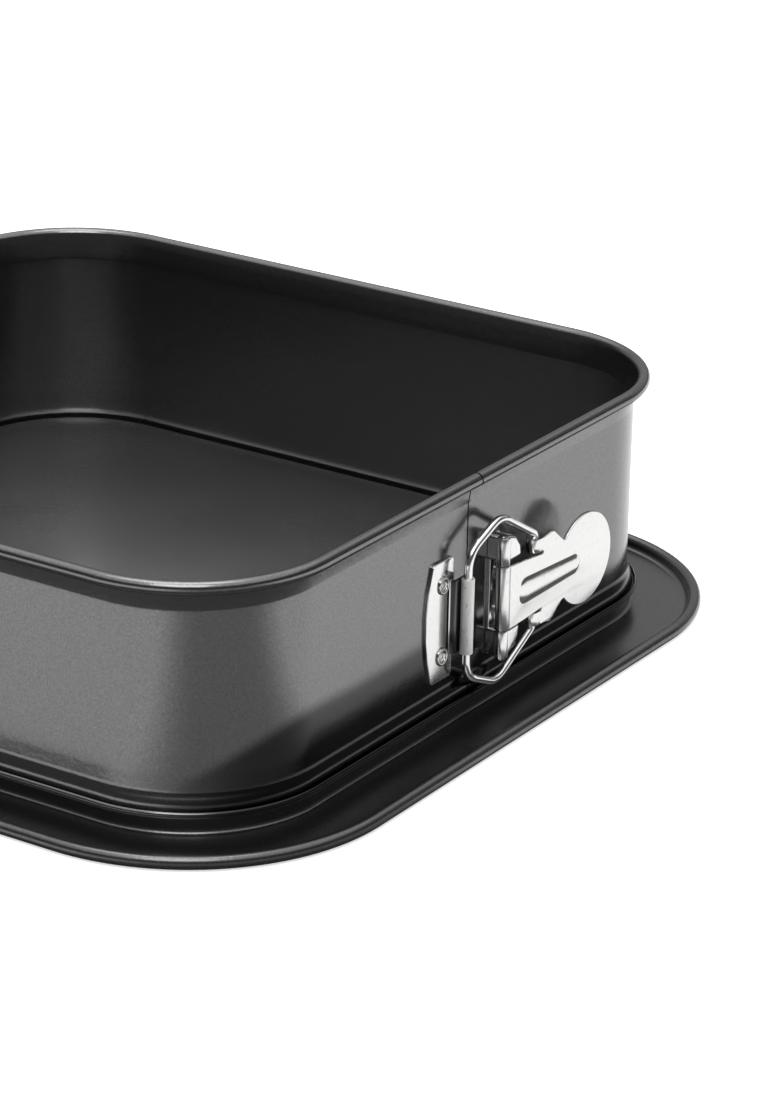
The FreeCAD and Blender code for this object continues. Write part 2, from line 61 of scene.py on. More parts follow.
CORNER_C = 80.3  # centres of the corner arcs, in x and y
WALL_MID = WALL_X - RING_T / 2
CORNER_R = WALL_MID - CORNER_C
FRONT_END_Y = -2.2  # the seam, where the ring's two ends meet
BACK_END_Y = FRONT_END_Y + 0.2

BUCKLE_Z = 34.0
PIN_X, PIN_Y = 126.0, 9.2  # hinge pin
STUB_X, STUB_Y = 126.4183, 25.2958  # ends of the bail wire, held by the lever
BAR_X, BAR_Y = 125.17, -8.4  # straight of the bail wire at the catch
PIN_R, WIRE_R, SLEEVE_R = 1.0, 1.2, 1.9
CLEARANCE = 0.06  # between a round part and the sheet rolled around it
CATCH_T = 0.9
BRACKET_T = 1.0
BRACKET_H = 18.4  # half the hinge bracket's height


# ------------------------------------------------------------------ outlines
class Track:
    """Middle line of a bent sheet, made of tangent straights and arcs; headings in degrees."""

    def __init__(self, x, y, heading):
        self.end, self.heading, self.parts = (x, y), heading, []

    def _append(self, place, size, is_arc):
        self.parts.append((place, size, is_arc))
        self.end = place(1.0)[:2]

    def line(self, length):
        x, y = self.end
        dx, dy = cos(radians(self.heading)), sin(radians(self.heading))

        def place(share):
            return (x + dx * length * share, y + dy * length * share, -dy, dx)

        self._append(place, length, False)

    def arc(self, radius, turn):
        """Turn left for a positive angle, right for a negative one."""
        side = 1.0 if turn > 0 else -1.0
        start = self.heading - 90.0 * side
        x = self.end[0] - side * radius * sin(radians(self.heading))
        y = self.end[1] + side * radius * cos(radians(self.heading))

        def place(share):
            angle = radians(start + turn * share)
            nx, ny = cos(angle), sin(angle)
            return (x + radius * nx, y + radius * ny, -side * nx, -side * ny)

        self.heading += turn
        self._append(place, abs(turn), True)

    def sample(self, step, arc_step):
        """Points with unit left normals: (x, y, nx, ny)."""
        out = []
        for place, size, is_arc in self.parts:
            count = max(2, round(size / arc_step)) if is_arc else max(1, round(size / step))
            out += [place(i / count) for i in range(count)]
        return out + [self.parts[-1][0](1.0)]


def offset(samples, distance):
    """Track samples moved to the left by a distance."""
    return [(x + nx * distance, y + ny * distance) for x, y, nx, ny in samples]


def inset(outline, distance):
    """A counterclockwise closed outline moved inwards."""
    out = []
    for i, (x, y) in enumerate(outline):
        before, after = outline[i - 1], outline[(i + 1) % len(outline)]
        in_x, in_y = x - before[0], y - before[1]
        out_x, out_y = after[0] - x, after[1] - y
        in_len, out_len = hypot(in_x, in_y) or 1e-9, hypot(out_x, out_y) or 1e-9
        nx = -in_y / in_len - out_y / out_len
        ny = in_x / in_len + out_x / out_len
        length = hypot(nx, ny) or 1e-9
        mitre = max(0.5, length / 2)
        out.append((x + nx / length * distance / mitre, y + ny / length * distance / mitre))
    return out


def counterclockwise(loop):
    area = sum(p[0] * q[1] - q[0] * p[1] for p, q in zip([loop[-1]] + loop, loop))
    return loop if area > 0 else loop[::-1]


def sample_outline(points, step, closed=True):
    """Sample an outline; (x, y, bulge) makes an arc to the next point, positive to the right.

    Bulge is the tangent of a quarter of the arc's angle. An open outline leaves out its
    last point.
    """
    arc_step = 8.0
    out = []
    for start, end in zip(points, points[1:] + (points[:1] if closed else [])):
        x, y = start[:2]
        dx, dy = end[0] - x, end[1] - y
        length = hypot(dx, dy)
        if len(start) == 2:
            count = max(1, round(length / step))
            out += [(x + dx * i / count, y + dy * i / count) for i in range(count)]
            continue
        side = 1.0 if start[2] > 0 else -1.0
        sweep = 4 * atan(abs(start[2]))
        radius = length / 2 / sin(sweep / 2)
        depth = side * radius * cos(sweep / 2)
        cx = x + dx / 2 - dy / length * depth
        cy = y + dy / 2 + dx / length * depth
        first = atan2(y - cy, x - cx)
        count = max(2, round(degrees(sweep) / arc_step))
        for i in range(count):
            angle = first + side * sweep * i / count
            out.append((cx + radius * cos(angle), cy + radius * sin(angle)))
    return out


def corner_arc(corner, back, ahead, radius, count=None):
    """Points of the arc that rounds a corner whose sides run along back and ahead."""
    back, ahead = back.normalized(), ahead.normalized()
    half = back.angle(ahead) / 2
    centre = corner + (back + ahead).normalized() * (radius / sin(half))
    start = corner + back * (radius / tan(half))
    end = corner + ahead * (radius / tan(half))
    first = atan2(start.y - centre.y, start.x - centre.x)
    last = atan2(end.y - centre.y, end.x - centre.x)
    sweep = (last - first + pi) % (2 * pi) - pi
    if count is None:
        count = max(4, int(abs(degrees(sweep)) / 7))
    angles = [first + sweep * i / count for i in range(count + 1)]
    return [(centre.x + radius * cos(a), centre.y + radius * sin(a)) for a in angles]


def round_corners(points, radius, keep_below, count):
    """Round the corners of a closed polygon that turn by keep_below degrees or more."""
    out = []
    for i, point in enumerate(points):
        corner = Vector(point)
        back = Vector(points[i - 1]) - corner
        ahead = Vector(points[(i + 1) % len(points)]) - corner
        angle = back.angle(ahead)
        if degrees(pi - angle) < keep_below:
            out.append(tuple(corner))
            continue
        # neighbouring arcs may not use up the side between them
        setback = min(radius / tan(angle / 2), back.length * 0.45, ahead.length * 0.45)
        out += corner_arc(corner, back, ahead, setback * tan(angle / 2), count)
    return out


def between(start, end, step):
    """Evenly spaced points strictly between two points."""
    count = max(1, int(dist(start, end) / step))
    dx, dy = end[0] - start[0], end[1] - start[1]
    return [(start[0] + dx * i / count, start[1] + dy * i / count) for i in range(1, count)]


def bent_path(points, radii, step):
    """An open path through the points, each inner corner bent to its own radius."""
    path = [points[0]]
    for before, corner, after, radius in zip(points, points[1:], points[2:], radii):
        corner = Vector(corner)
        bend = corner_arc(corner, Vector(before) - corner, Vector(after) - corner, radius)
        path += between(path[-1], bend[0], step) + bend
    return path + between(path[-1], points[-1], step) + [points[-1]]


# ------------------------------------------------------------------ solids
# Each solid takes put(), which maps its own three coordinates to a place in the pan.
class Shell:
    """Vertices and faces of a mesh; holes lists the vertex loops left open."""

    def __init__(self):
        self.verts, self.faces, self.holes = [], [], []

    def add(self, points):
        first = len(self.verts)
        self.verts.extend(points)
        return list(range(first, len(self.verts)))

    def strip(self, a, b, closed=False):
        count = len(a)
        for i in range(count if closed else count - 1):
            j = (i + 1) % count
            self.faces.append((a[i], a[j], b[j], b[i]))

    def cap(self, loops, ids, flip=False):
        """Fill flat loops; the first is the outline, the others are holes."""
        flat = [i for loop in ids for i in loop]
        for triangle in tessellate_polygon([[Vector((x, y, 0)) for x, y in lp] for lp in loops]):
            face = tuple(flat[i] for i in triangle)
            self.faces.append(face[::-1] if flip else face)

    def merge(self, other):
        first = len(self.verts)
        self.verts.extend(other.verts)
        self.faces.extend(tuple(i + first for i in face) for face in other.faces)


def prism(outline, low, high, bevel, put, low_bevel=None, low_hole=None, high_hole=None, steps=3):
    """A plate with rounded edges; a hole is a loop left open in that cap."""
    outline = counterclockwise(outline)
    if low_bevel is None:
        low_bevel = bevel
    quarter = [pi / 2 * i / steps for i in range(steps + 1)]
    levels = [(low_bevel * (1 - sin(a)), low + low_bevel * (1 - cos(a))) for a in quarter]
    levels += [(bevel * (1 - cos(a)), high - bevel * (1 - sin(a))) for a in quarter]
    shell = Shell()
    loops = [inset(outline, depth) for depth, _ in levels]
    ids = [shell.add([put(x, y, h) for x, y in lp]) for lp, (_, h) in zip(loops, levels)]
    for a, b in zip(ids, ids[1:]):
        shell.strip(a, b, closed=True)
    for end, hole, height, flip in ((0, low_hole, low, True), (-1, high_hole, high, False)):
        if hole is None:
            shell.cap([loops[end]], [ids[end]], flip)
        else:
            hole_ids = shell.add([put(x, y, height) for x, y in hole])
            shell.cap([loops[end], hole], [ids[end], hole_ids], flip)
            shell.holes.append(hole_ids)
    return shell


def bent_sheet(track, thickness, low, high, bevel, put, step, arc_step):
    """A sheet bent along a track, standing from low to high, with softened ends."""
    samples = track.sample(step, arc_step)
    shell = Shell()
    softening = ((1.0, 0.0), (0.3, 0.3), (0.0, 1.0))  # inset and height, in bevels
    levels = [(bevel * d, low + bevel * h) for d, h in softening]
    levels += [(bevel * d, high - bevel * h) for d, h in reversed(softening)]
    left, right = [], []
    for depth, height in levels:
        half = thickness / 2 - depth
        left.append(shell.add([put(x, y, height) for x, y in offset(samples, half)]))
        right.append(shell.add([put(x, y, height) for x, y in offset(samples, -half)]))
    for l0, l1, r0, r1 in zip(left, left[1:], right, right[1:]):
        shell.strip(l0, l1)
        shell.strip(r1, r0)
        shell.faces.append((l0[0], r0[0], r1[0], l1[0]))
        shell.faces.append((l1[-1], r1[-1], r0[-1], l0[-1]))
    shell.strip(right[0], left[0])
    shell.strip(left[-1], right[-1])
    return shell


def circle(radius, count):
    angles = [2 * pi * i / count for i in range(count)]
    return [(radius * cos(a), radius * sin(a)) for a in angles]


def lathe(profile, put, count):
    """A turned solid; the profile is (along the axis, radius)."""
    shell = Shell()
    rings = []
    for axial, radius in profile:
        if radius < 1e-6:
            rings.append(shell.add([put(axial, 0.0, 0.0)]) * count)
        else:
            rings.append(shell.add([put(axial, x, y) for x, y in circle(radius, count)]))
    for a, b in zip(rings, rings[1:]):
        for i in range(count):
            j = (i + 1) % count
            # rings on the axis repeat one vertex, so those quads become triangles
            face = tuple(dict.fromkeys((a[i], a[j], b[j], b[i])))
            if len(face) > 2:
                shell.faces.append(face)
    return shell


def wire(path, radius, put, count=24):
    """A round wire with rounded ends along a flat path."""
    sections = []
    for i, (x, y) in enumerate(path):
        before, after = path[max(0, i - 1)], path[min(len(path) - 1, i + 1)]
        heading = Vector((after[0] - before[0], after[1] - before[1])).normalized()
        sections.append((x, y, heading.x, heading.y, radius))

    def shrunk(section, shift, scale):
        x, y, dx, dy, _ = section
        return (x + dx * radius * shift, y + dy * radius * shift, dx, dy, radius * scale)

    # the ends as (shift along the wire, size), both in radii
    swell = [0.35 * sin(radians(angle)) for angle in (30.0, 60.0)]
    start = [(0.0, 0.7)] + [(0.35 - s, 0.65 + s) for s in swell]
    sections[:1] = [shrunk(sections[0], *row) for row in start]
    sections[-1:] = [shrunk(sections[-1], *row) for row in ((-0.18, 0.95), (0.0, 0.7))]

    shell = Shell()
    rings = []
    for x, y, dx, dy, size in sections:
        loop = [put(x - dy * a, y + dx * a, b) for a, b in circle(size, count)]
        rings.append(shell.add(loop))
    for a, b in zip(rings, rings[1:]):
        shell.strip(a, b, closed=True)
    shell.faces.append(tuple(rings[0][::-1]))
    shell.faces.append(tuple(rings[-1]))
    return shell


def mesh_object(name, shell, mat, sharp, weld):
    """Make a mesh object in metres; quads are smooth, edges over the sharp angle stay crisp."""
    mesh = bpy.data.meshes.new(name)
    mesh.from_pydata([(x * MM, y * MM, z * MM) for x, y, z in shell.verts], [], shell.faces)
    mesh.validate()
    bm = bmesh.new()
    bm.from_mesh(mesh)
    if weld:
        bmesh.ops.remove_doubles(bm, verts=bm.verts, dist=1e-7)
    bmesh.ops.recalc_face_normals(bm, faces=bm.faces)
    bm.to_mesh(mesh)
    bm.free()
    for polygon in mesh.polygons:
        polygon.use_smooth = len(polygon.vertices) == 4
    mesh.set_sharp_from_angle(angle=radians(sharp))
    ob = bpy.data.objects.new(name, mesh)
    bpy.context.scene.collection.objects.link(ob)
    mesh.materials.append(mat)
    return ob


def part(name, shell, mat, body, replaced=None, sharp=35.0, weld=True):
    """Make an object that moves with a body and may replace a CAD piece."""
    ob = mesh_object(name, shell, mat, sharp, weld)
    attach(ob, body)
    if replaced:
        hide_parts(replaced)


# ------------------------------------------------------------------ shader nodes
class Graph:
    """Short calls for building a node tree; inputs may be sockets or plain values."""

    def __init__(self, tree):
        self.tree = tree
        tree.nodes.clear()

    def node(self, kind):
        return self.tree.nodes.new(kind)

    def feed(self, socket, value):
        if isinstance(value, bpy.types.NodeSocket):
            self.tree.links.new(value, socket)
        else:
            socket.default_value = value

    def noise(self, vector, scale, detail, rough=0.55):
        node = self.node("ShaderNodeTexNoise")
        node.inputs["Scale"].default_value = scale
        node.inputs["Detail"].default_value = detail
        node.inputs["Roughness"].default_value = rough
        self.feed(node.inputs["Vector"], vector)
        return node.outputs["Fac"]

    def ramp(self, value, low, high, to_low=0.0, to_high=1.0, kind="LINEAR"):
        node = self.node("ShaderNodeMapRange")
        node.interpolation_type = kind
        node.inputs["From Min"].default_value = low
        node.inputs["From Max"].default_value = high
        node.inputs["To Min"].default_value = to_low
        node.inputs["To Max"].default_value = to_high
        self.feed(node.inputs["Value"], value)
        return node.outputs[0]

    def fade(self, value, zero_at, one_at):
        """A smooth step from 0 to 1."""
        return self.ramp(value, zero_at, one_at, kind="SMOOTHERSTEP")

    def mix(self, factor, a, b):
        node = self.node("ShaderNodeMix")
        node.data_type = "RGBA"
        self.feed(node.inputs["Factor"], factor)
        self.feed(node.inputs["A"], a)
        self.feed(node.inputs["B"], b)
        return node.outputs["Result"]

    def stretch(self, vector, scale):
        node = self.node("ShaderNodeMapping")
        node.inputs["Scale"].default_value = scale
        self.feed(node.inputs["Vector"], vector)
        return node.outputs[0]

    def bump(self, height, strength, distance, normal=None):
        node = self.node("ShaderNodeBump")
        node.inputs["Strength"].default_value = strength
        node.inputs["Distance"].default_value = distance
        self.feed(node.inputs["Height"], height)
        if normal is not None:
            self.feed(node.inputs["Normal"], normal)
        return node.outputs[0]

    def math(self, operation, *values):
        node = self.node("ShaderNodeMath")
        node.operation = operation
        for socket, value in zip(node.inputs, values):
            self.feed(socket, value)
        return node.outputs[0]

    def axes(self, vector):
        node = self.node("ShaderNodeSeparateXYZ")
        self.feed(node.inputs[0], vector)
        return node.outputs


def new_material(name):
    """The material, its graph, its Principled node, its output and its object coordinates."""
    mat = bpy.data.materials.new(name)
    mat.use_nodes = True
    graph = Graph(mat.node_tree)
    output = graph.node("ShaderNodeOutputMaterial")
    surface = graph.node("ShaderNodeBsdfPrincipled")
    graph.feed(output.inputs[0], surface.outputs[0])
    position = graph.node("ShaderNodeTexCoord").outputs["Object"]
    return mat, graph, surface, output, position


def grey(level, blue=None):
    return (level, level, level if blue is None else blue, 1)


# ------------------------------------------------------------------ materials
def paint_panel_sheen(graph, position, flakes, colour, level):
    """Paint the raised floor panel lighter than the channel around it, a painted sheen standing in
    for the brighter reflection the panel shows.
    """
    height = graph.axes(position)["Z"]
    sheen_mask = graph.ramp(height, low=0.0080, high=0.0095)
    panel_sheen = graph.mix(flakes, grey(level * 0.84, blue=level * 0.85), grey(level * 1.2))
    return graph.mix(sheen_mask, colour, panel_sheen)


def darken_foot(graph, position, colour):
    """Darken the foot of the buckle side, standing in for a dark reflection there."""
    x, y, z = graph.axes(position)
    blotches = graph.noise(position, scale=14.0, detail=2.0)
    wobble = graph.ramp(blotches, low=0.3, high=0.7, to_low=-0.0015, to_high=0.0015)
    edge = graph.ramp(x, low=0.095, high=0.1205, to_low=0.010, to_high=0.0305)
    far = graph.ramp(y, low=0.020, high=0.100, to_low=0.0, to_high=0.016)
    height = graph.math("ADD", graph.math("ADD", z, wobble), far)
    above_edge = graph.math("SUBTRACT", height, edge)
    low = graph.fade(above_edge, zero_at=0.0030, one_at=-0.0035)
    low = graph.math("MULTIPLY", low, graph.fade(x, zero_at=0.090, one_at=0.1190))
    darkness = 0.86
    return graph.mix(graph.math("MULTIPLY", low, darkness), colour, grey(0.004))


def nonstick_material(name, level, rough, panel_sheen=None, foot=False):
    """Dark grey metallic coat: fine flake speckle over a soft orange peel."""
    mat, graph, surface, _, position = new_material(name)
    peel = graph.noise(position, scale=420.0, detail=3.0)
    flake = graph.noise(position, scale=1700.0, detail=2.0, rough=0.7)
    broad = graph.noise(position, scale=9.0, detail=3.0)
    flakes = graph.ramp(flake, low=0.30, high=0.74)
    colour = graph.mix(flakes, grey(level * 0.78, blue=level * 0.79), grey(level * 1.20))
    # the raised panel gets a painted sheen, painted lighter than the channel and rim of the base
    if panel_sheen:
        colour = paint_panel_sheen(graph, position, flakes, colour, panel_sheen)
    if foot:
        colour = darken_foot(graph, position, colour)
    roughness = graph.ramp(broad, low=0.3, high=0.7, to_low=rough - 0.03, to_high=rough + 0.04)
    normal = graph.bump(peel, strength=0.10, distance=0.00035)
    normal = graph.bump(flake, strength=0.10, distance=0.00008, normal=normal)
    graph.feed(surface.inputs["Base Color"], colour)
    graph.feed(surface.inputs["Metallic"], 0.955)
    graph.feed(surface.inputs["Roughness"], roughness)
    graph.feed(surface.inputs["Normal"], normal)
    graph.feed(surface.inputs["Coat Weight"], 0.25)
    graph.feed(surface.inputs["Coat Roughness"], 0.12)
    return mat


def steel_material(name, level=0.76, rough=0.15, grain=(30, 30, 900), relief=0.12, step=False):
    """Bright steel: faint drawing grain, fine scratches and a slightly uneven shine.

    grain is the stretch of the grain along x, y and z; relief is how strongly it shows.
    """
    mat, graph, surface, _, position = new_material(name)
    drawn = graph.noise(graph.stretch(position, grain), scale=3.0, detail=4.0, rough=0.6)
    fine = graph.stretch(position, (120, 1500, 260))
    scratch = graph.noise(fine, scale=2.0, detail=2.0, rough=0.5)
    broad = graph.noise(position, scale=90.0, detail=3.0)
    scratched = graph.ramp(scratch, low=0.60, high=0.72)
    clean, dull = grey(level, blue=level * 0.99), grey(level * 0.80, blue=level * 0.79)
    colour = graph.mix(scratched, clean, dull)
    if step:
        # the raised step and tongue are darkened, standing in for the shade behind the sleeve
        raised = graph.fade(graph.axes(position)["X"], zero_at=0.12165, one_at=0.12200)
        colour = graph.mix(raised, colour, grey(0.10))
    roughness = graph.ramp(broad, low=0.3, high=0.7, to_low=rough - 0.03, to_high=rough + 0.06)
    normal = graph.bump(drawn, strength=relief, distance=0.00006)
    normal = graph.bump(broad, strength=0.12, distance=0.0004, normal=normal)
    graph.feed(surface.inputs["Base Color"], colour)
    graph.feed(surface.inputs["Metallic"], 1.0)
    graph.feed(surface.inputs["Roughness"], roughness)
    graph.feed(surface.inputs["Normal"], normal)
    return mat


RING_COAT = nonstick_material("ring_nonstick", level=0.165, rough=0.17, foot=True)
BASE_COAT = nonstick_material("base_nonstick", level=0.120, rough=0.26, panel_sheen=0.36)
PLATED = steel_material("plated_steel")
PLATED_STEP = steel_material("plated_steel_step", step=True)
RIVET_STEEL = steel_material(
    "rivet_steel", level=0.50, rough=0.14, grain=(600, 600, 600), relief=0.2
)
WIRE_STEEL = steel_material("wire_steel", level=0.78, rough=0.12, grain=(900, 40, 40), relief=0.1)
SATIN = steel_material("satin_steel", level=0.95, rough=0.58, grain=(60, 60, 900), relief=0.25)


# ------------------------------------------------------------------ ring and base
# A station is (x, y, normal x, normal y, radius): the corner's centre with its radius, or
# a point on a straight wall's middle with radius 0.
def corner(x, y, start):
    count = 30
    angles = [radians(start + 90 * i / count) for i in range(count + 1)]
    return [(x, y, cos(a), sin(a), CORNER_R) for a in angles]


def straight(start, end, normal, count, first=1, extra=0):
    dx, dy = end[0] - start[0], end[1] - start[1]
    shares = [i / count for i in range(first, count + extra)]
    return [(start[0] + dx * s, start[1] + dy * s, *normal, 0.0) for s in shares]


def wall_path(y_start, y_end, counts, extra=0):
    """Stations once around the pan, counterclockwise, starting and ending on the +x wall."""
    c, mid = CORNER_C, WALL_MID
    path = straight((mid, y_start), (mid, c), (1, 0), counts[0], first=0)
    path += corner(c, c, 0)
    path += straight((c, mid), (-c, mid), (0, 1), counts[1])
    path += corner(-c, c, 90)
    path += straight((-mid, c), (-mid, -c), (-1, 0), counts[2])
    path += corner(-c, -c, 180)
    path += straight((-c, -mid), (c, -mid), (0, -1), counts[3])
    path += corner(c, -c, 270)
    return path + straight((mid, -c), (mid, y_end), (1, 0), counts[4], extra=extra)


def at_station(station, x, z):
    """Place a point of the +x wall's section at a station."""
    cx, cy, nx, ny, radius = station
    reach = radius + (x - WALL_MID)
    return (cx + nx * reach, cy + ny * reach, z)


def ring_section():
    """The ring's wall from its foot curl up to its rim curl, in (x, z)."""
    foot_out, step_r = 1.6, 4.0  # the foot stands out from the wall by an S-shaped step
    curl_r, curl_z, curl_start = 0.8, 7.0, 60
    lean_z = 65.0
    curl_x = WALL_MID + foot_out + curl_r
    track = Track(
        curl_x + curl_r * cos(radians(curl_start)), curl_z + curl_r * sin(radians(curl_start)), -30.0
    )
    track.arc(curl_r, -240.0)
    track.line(1.6)
    step_turn = degrees(acos(1 - foot_out / (2 * step_r)))
    track.arc(step_r, step_turn)
    track.arc(step_r, -step_turn)
    track.line(lean_z - track.end[1])
    track.arc(4.0, -10.0)
    track.line(7.6)
    track.arc(1.65, -290.0)
    return track


def make_ring_band():
    stations = wall_path(BACK_END_Y + 0.15, FRONT_END_Y - 0.3, (16, 24, 24, 32, 16), extra=1)
    samples = ring_section().sample(3.0, 11.0)
    ring = Shell()
    rows = []
    for station in stations:
        rows.append([
            ring.add([at_station(station, x, z) for x, z in offset(samples, side * RING_T / 2)])
            for side in (1, -1)
        ])
    for (l0, r0), (l1, r1) in zip(rows, rows[1:]):
        ring.strip(l0, l1)
        ring.strip(r1, r0)
        ring.faces.append((l0[0], l1[0], r1[0], r0[0]))
        ring.faces.append((l1[-1], l0[-1], r0[-1], r1[-1]))
    ring.strip(*rows[0])
    ring.strip(*rows[-1][::-1])

    # work out a share for the front body along the band, rising where the -y wall leaves its far
    # (-x) corner
    flex = 12.0
    middles = [at_station(station, WALL_MID, 0)[:2] for station in stations]
    travelled = [0.0]
    for here, there in zip(middles, middles[1:]):
        travelled.append(travelled[-1] + dist(here, there))
    flex_at = next(
        length for (x, y), length in zip(middles, travelled)
        if abs(x + CORNER_C) < 0.01 and y < -WALL_MID + 0.01
    )
    weights = []
    for length in travelled:
        share = min(1.0, max(0.0, (length - flex_at + flex / 2) / flex))
        weights += [share * share * (3 - 2 * share)] * (2 * len(samples))

    ob = mesh_object("ring_band", ring, RING_COAT, sharp=50.0, weld=False)
    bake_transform(ob)
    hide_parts("ring_band_back", "ring_band_front")


def make_inner_flap():
    """A thin upright strip inside the wall, behind the seam."""
    face = WALL_X - RING_T
    plan = [
        (face - 0.72, -11.3),
        (face - 0.05, -11.3),
        (face - 0.05, BACK_END_Y - 0.05),
        (face + 0.1, BACK_END_Y + 0.1),
        (face + 0.1, 5.0),
        (face - 0.1, 5.0),
        (face - 0.72, 3.6),
    ]
    plan = round_corners(plan, radius=0.25, keep_below=40.0, count=3)
    flap = prism(plan, 17.0, 62.0, 0.15, lambda x, y, z: (x, y, z))
    part("ring_inner_flap", flap, RING_COAT, "ring", sharp=40.0)


PANEL_TOP = 9.6


def base_section():
    """From the raised floor panel down into the channel and out to the rolled rim, (x, z)."""
    half = BASE_T / 2
    start_x, panel_x = 100.0, 121.45  # panel_x is the panel's edge, outer face
    panel_r, channel_r, rim_r, rim_x = 1.1, 1.9, 1.6, 141.8
    track = Track(start_x, PANEL_TOP - half, 0.0)
    track.line(panel_x - half - panel_r - start_x)
    track.arc(panel_r, -90.0)
    track.line(track.end[1] - half - channel_r)
    track.arc(channel_r, 90.0)
    track.line(rim_x - rim_r - channel_r - track.end[0])
    track.arc(channel_r, 90.0)
    track.arc(rim_r, -272.0)
    return track


def make_base_plate():
    stations = wall_path(0.0, 0.0, (10, 20, 20, 20, 10))
    samples = base_section().sample(4.0, 11.0)
    base = Shell()
    top, under = (
        [base.add([at_station(station, x, z) for station in stations])
         for x, z in offset(samples, side * BASE_T / 2)]
        for side in (1, -1)
    )
    for a, b in zip(top, top[1:]):
        base.strip(a, b, closed=True)
    for a, b in zip(under[1:], under):
        base.strip(a, b, closed=True)
    base.strip(top[-1], under[-1], closed=True)
    # fill both faces of the panel with shrinking loops around a centre point
    for previous, z in ((top[0], PANEL_TOP), (under[0], PANEL_TOP - BASE_T)):
        edge = [base.verts[i] for i in previous]
        for k in range(1, 10):
            scale = 1 - k / 10.0
            ids = base.add([(p[0] * scale, p[1] * scale, z) for p in edge])
            base.strip(previous, ids, closed=True)
            previous = ids
        centre = base.add([(0.0, 0.0, z)])[0]
        for i, vert in enumerate(previous):
            base.faces.append((vert, previous[(i + 1) % len(previous)], centre))
    part("base_plate_sheet", base, BASE_COAT, "base", "base_plate",
         sharp=50.0, weld=False)


# ------------------------------------------------------------------ catch and hinge
def on_wall(y, z, out):
    """Outline in (y, z above the buckle's middle), raised out from the wall."""
    return (WALL_X + out, y, BUCKLE_Z + z)


def make_catch_plate():
    top = 18.3
    # (y, z, bulge of the arc to the next point)
    flange = [
        (-11.4, -top),
        (-10.4, -top + 1.0),
        (-10.4, top - 1.0),
        (-11.4, top),
        (-19.9, top, 0.30),
        (-21.2, top - 1.1, 0.18),
        (-21.2, -top + 1.1, 0.30),
        (-19.9, -top),
    ]
    catch = prism(sample_outline(flange, 0.8), 0.0, CATCH_T, 0.28, on_wall, low_bevel=0.05)

    # tongue: steps out from the flange, runs towards the seam and turns out behind the sleeve
    tongue_x = 123.22  # outer face
    half_width = 11.2
    step_r, step_turn, lip_r = 1.0, 60.0, 0.7
    rise = (tongue_x - WALL_X) - CATCH_T
    lip_y = BAR_Y + SLEEVE_R + 0.2
    track = Track(CATCH_T / 2, -13.6, 90.0)
    track.line(1.0)
    track.arc(step_r, -step_turn)
    slope = rise - 2 * step_r * (1 - cos(radians(step_turn)))
    track.line(slope / sin(radians(step_turn)))
    track.arc(step_r, step_turn)
    track.line(lip_y + CATCH_T / 2 - lip_r - track.end[1])
    track.arc(lip_r, -90.0)
    track.line((BAR_X - WALL_X) - track.end[0])
    catch.merge(bent_sheet(
        track, CATCH_T, -half_width, half_width, 0.18,
        lambda x, y, z: on_wall(y, z, x), step=0.5, arc_step=9.0,
    ))
    part("catch_plate_pressed", catch, PLATED_STEP, "ring_front", "catch_plate")


def make_rivet(piece, y, z, thick, body):
    """A rivet through the wall and a sheet: rolled lip and dimple outside, flat head inside."""
    inside = -RING_T
    # (out from the wall's outer face, radius)
    profile = [
        (inside - 0.6, 0.0), (inside - 0.6, 2.0), (inside - 0.55, 2.3), (inside - 0.4, 2.55),
        (inside - 0.15, 2.65), (inside, 2.62), (inside, 1.5),
        (thick - 0.02, 1.5), (thick - 0.02, 2.55),
    ]
    for angle in range(0, 181, 18):
        lip = radians(angle)
        profile.append((thick + 0.30 + 0.405 * sin(lip), 2.18 + 0.57 * cos(lip)))
    profile += [(thick + 0.22, 1.45), (thick + 0.10, 1.0), (thick + 0.16, 0.5), (thick + 0.22, 0.0)]
    shell = lathe(profile, lambda out, a, b: (WALL_X + out, y + a, z + b), 44)
    part(piece + "_head", shell, RIVET_STEEL, body, piece)


def make_rivets():
    for side, level in ((1, "upper"), (-1, "lower")):
        make_rivet("catch_rivet_" + level, -15.9, BUCKLE_Z + side * 10.85, CATCH_T, "ring_front")
        make_rivet("hinge_rivet_" + level, 13.4, BUCKLE_Z + side * 6.2, BRACKET_T, "ring")


def about_pin(axial, x, y):
    return (PIN_X + x, PIN_Y + y, BUCKLE_Z + axial)


def make_hinge_bracket():
    """A leaf on the wall with an ear and a barrel above and below the lever."""
    top = BRACKET_H
    barrel_from = 10.1
    ear_out = 127.0 - WALL_X
    # (y, z, bulge of the arc to the next point)
    leaf = [
        (PIN_Y, -top),
        (13.0, -top, 0.30),
        (14.1, -top + 0.8, 0.155),
        (14.1, top - 0.8, 0.30),
        (13.0, top),
        (PIN_Y, top),
    ]
    bracket = prism(sample_outline(leaf, 0.8), 0.0, BRACKET_T, 0.28, on_wall, low_bevel=0.05)
    # (y, z) of the upper ear
    upper_ear = [
        (PIN_Y - 0.3, barrel_from + 0.2), (18.1, barrel_from + 0.2), (17.4, 14.2),
        (14.8, 17.4), (11.8, top), (PIN_Y - 0.3, top),
    ]
    for side in (1, -1):
        ear = upper_ear if side > 0 else [(y, -z) for y, z in reversed(upper_ear)]
        ear = round_corners(ear, radius=1.2, keep_below=8.0, count=6)
        bracket.merge(prism(ear, 0.1, ear_out, 1.25, on_wall, low_bevel=0.05, steps=6))
        low, high = sorted((side * barrel_from, side * top))
        barrel = [
            (low, PIN_R), (low, 1.8), (low + 0.06, 1.93), (low + 0.2, 2.0),
            (high - 0.2, 2.0), (high - 0.06, 1.93), (high, 1.8), (high, PIN_R), (low, PIN_R),
        ]
        bracket.merge(lathe(barrel, about_pin, 40))
    part("hinge_bracket_pressed", bracket, PLATED, "ring", "hinge_bracket",
         weld=False)


